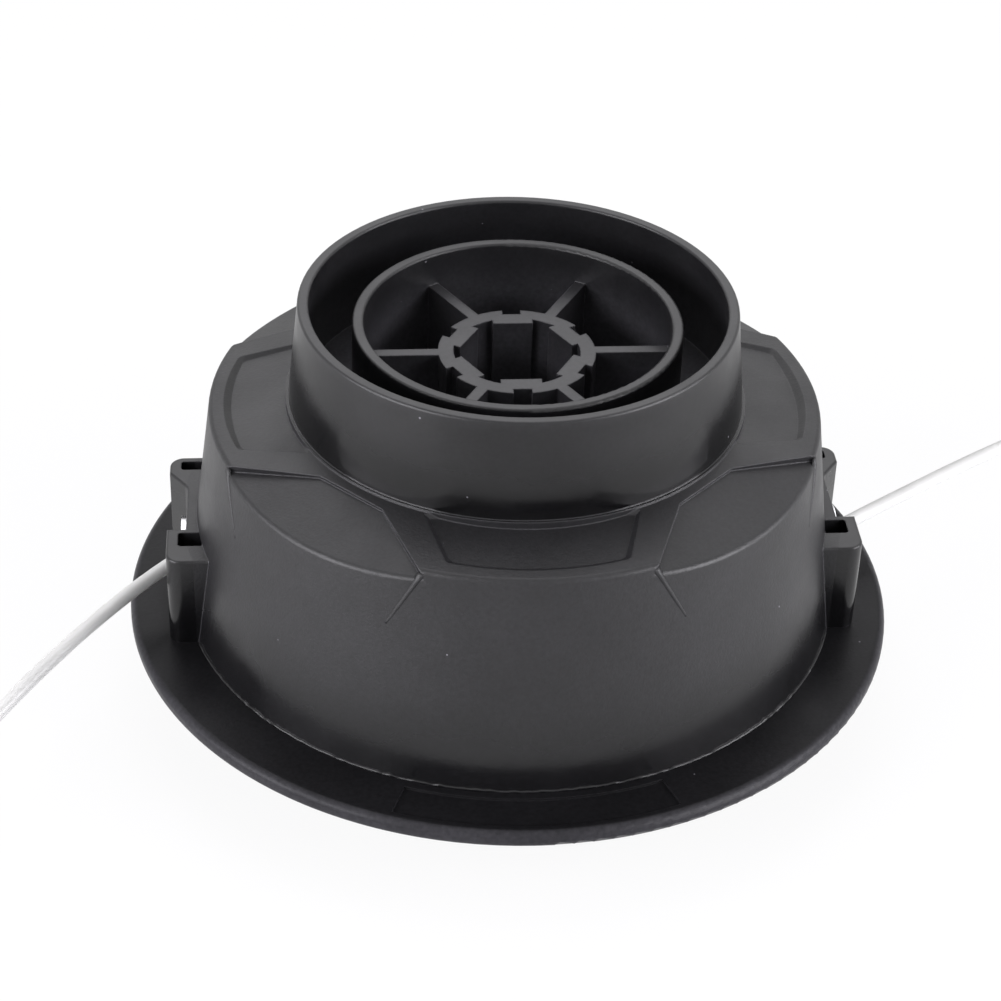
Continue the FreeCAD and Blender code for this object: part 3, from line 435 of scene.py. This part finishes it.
def clear_nylon(name, base, transmission):
    """Milky clear nylon with faint clouds and drawing marks."""
    clear = {"IOR": LINE_INDEX, "Transmission_Weight": transmission}
    material, tree, surface = shader(name, base, LINE_ROUGHNESS, **clear)
    place = add_node(tree, "TexCoord").outputs["Object"]
    tone = mottled(tree, place, MILK_CLOUD, *MILK_RANGE)
    colour = add_node(tree, "VectorMath", {0: base, "Scale": tone}, operation="SCALE")
    tree.links.new(colour.outputs[0], surface.inputs["Base Color"])
    height = mottled(tree, place, DRAWN_SIZE, 0.0, 1.0)
    bump = add_node(tree, "Bump", {"Height": height, "Distance": DRAWN_DEPTH, "Strength": 0.5})
    tree.links.new(bump.outputs[0], surface.inputs["Normal"])
    return material


def lay_spline(curve, points):
    """One open NURBS spline of order 3 that starts and ends on its outer control points."""
    spline = curve.splines.new("NURBS")
    spline.points.add(len(points) - 1)
    for point, place in zip(spline.points, points):
        point.co = (*place, 1.0)
    spline.order_u = 3
    spline.use_endpoint_u = True
    spline.resolution_u = 12


def run_length(points):
    """The length of a smooth spline through its control points, read from Blender's own curve."""
    curve = bpy.data.curves.new("measured_run", "CURVE")
    curve.dimensions = "3D"
    lay_spline(curve, points)
    holder = bpy.data.objects.new("measured_run", curve)
    mesh = bpy.data.meshes.new_from_object(holder)
    places = np.empty(len(mesh.vertices) * 3)
    mesh.vertices.foreach_get("co", places)
    bpy.data.objects.remove(holder)
    bpy.data.curves.remove(curve)
    bpy.data.meshes.remove(mesh)
    return float(np.linalg.norm(np.diff(places.reshape(-1, 3), axis=0), axis=1).sum())


line_nylon = clear_nylon("line_nylon", LINE_MILK, LINE_CLEAR)
for name, route in LINE_ROUTES.items():
    curve = bpy.data.curves.new(name + "_cord", "CURVE")
    curve.dimensions = "3D"
    curve.bevel_depth = LINE_DIAMETER / 2
    curve.bevel_resolution = 6
    curve.use_fill_caps = True
    lay_spline(curve, route)
    line = bpy.data.objects.new(name + "_cord", curve)
    scene.collection.objects.link(line)
    curve.materials.append(line_nylon)
    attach(line, "housing")
    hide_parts(name)
    run_length(route)
winding_nylon = clear_nylon("winding_nylon", LINE_MILK, WINDING_CLEAR)
dress("line_winding_lower", winding_nylon)
dress("line_winding_upper", winding_nylon)

# The ground, light and background.
# A white sweep under a light tent: soft boxes at both sides and overhead, and white all round.
FLOOR_HALF, FLOOR_DROP = 3.0, 0.0002
FLOOR_WHITE, FLOOR_ROUGHNESS = (0.90, 0.895, 0.93), 0.9
FLOOR_GLOW = 0.9
TENT_FRONT, TENT_SIDE, TENT_TURN = 0.3, 0.35, (0.3, 0.95)
BOX_LIGHT = (0.965, 0.955, 1.0)
# Place, width in metres and power in watts
SOFT_BOXES = [
    ((-0.52, -0.27, 0.13), 0.5, 6.0),
    ((0.56, -0.25, 0.14), 0.5, 6.4),
    ((0.0, 0.80, 0.72), 0.7, 1.0),
    ((0.0, 0.50, 0.95), 0.9, 4.0),
]


def seen_plainly(tree):
    """One for a ray from the camera, off a gloss or through a clear piece; zero for soft light."""
    ray = add_node(tree, "LightPath").outputs
    bounced = worked(tree, "MAXIMUM", ray["Is Glossy Ray"], ray["Is Transmission Ray"])
    return worked(tree, "MAXIMUM", ray["Is Camera Ray"], bounced)


floor_mesh = bpy.data.meshes.new("floor")
corners = FLOOR_HALF * np.array([(-1, -1, 0), (1, -1, 0), (1, 1, 0), (-1, 1, 0)])
floor_mesh.from_pydata((corners - (0, 0, FLOOR_DROP)).tolist(), [], [(0, 1, 2, 3)])
floor = bpy.data.objects.new("floor", floor_mesh)
scene.collection.objects.link(floor)
floor_paint, tree, surface = shader("floor_paint", FLOOR_WHITE, FLOOR_ROUGHNESS)
glow = add_node(tree, "Emission", {"Color": (1.0, 1.0, 1.0, 1.0), "Strength": 1.0})
share = worked(tree, "MULTIPLY", seen_plainly(tree), FLOOR_GLOW)
both = add_node(tree, "MixShader", {0: share, 1: surface.outputs[0], 2: glow.outputs[0]})
below = add_node(tree, "NewGeometry").outputs["Backfacing"]
clear = add_node(tree, "BsdfTransparent").outputs[0]
sided = add_node(tree, "MixShader", {0: below, 1: both.outputs[0], 2: clear})
tree.links.new(sided.outputs[0], tree.nodes["Material Output"].inputs["Surface"])
floor_mesh.materials.append(floor_paint)

for place, width, power in SOFT_BOXES:
    box = bpy.data.lights.new("soft_box", "AREA")
    box.shape = "SQUARE"
    box.size = width
    box.energy = power
    box.color = BOX_LIGHT
    lamp = bpy.data.objects.new("soft_box", box)
    scene.collection.objects.link(lamp)
    lamp.rotation_mode = "QUATERNION"
    lamp.rotation_quaternion = Vector(place).to_track_quat("Z", "Y")
    lamp.location = place

scene.view_settings.view_transform = "Standard"
world = bpy.data.worlds.new("light_tent")
world.use_nodes = True
scene.world = world
tree = world.node_tree
tree.nodes["Background"].inputs["Color"].default_value = (1.0, 1.0, 1.0, 1.0)
way = add_node(tree, "TexCoord").outputs["Generated"]
aside = worked(tree, "ABSOLUTE", add_node(tree, "SeparateXYZ", {0: way}).outputs[0])
sides = stepped(tree, aside, *TENT_TURN, TENT_FRONT, TENT_FRONT + TENT_SIDE)
level = worked(tree, "MAXIMUM", sides, seen_plainly(tree))
tree.links.new(level, tree.nodes["Background"].inputs["Strength"])
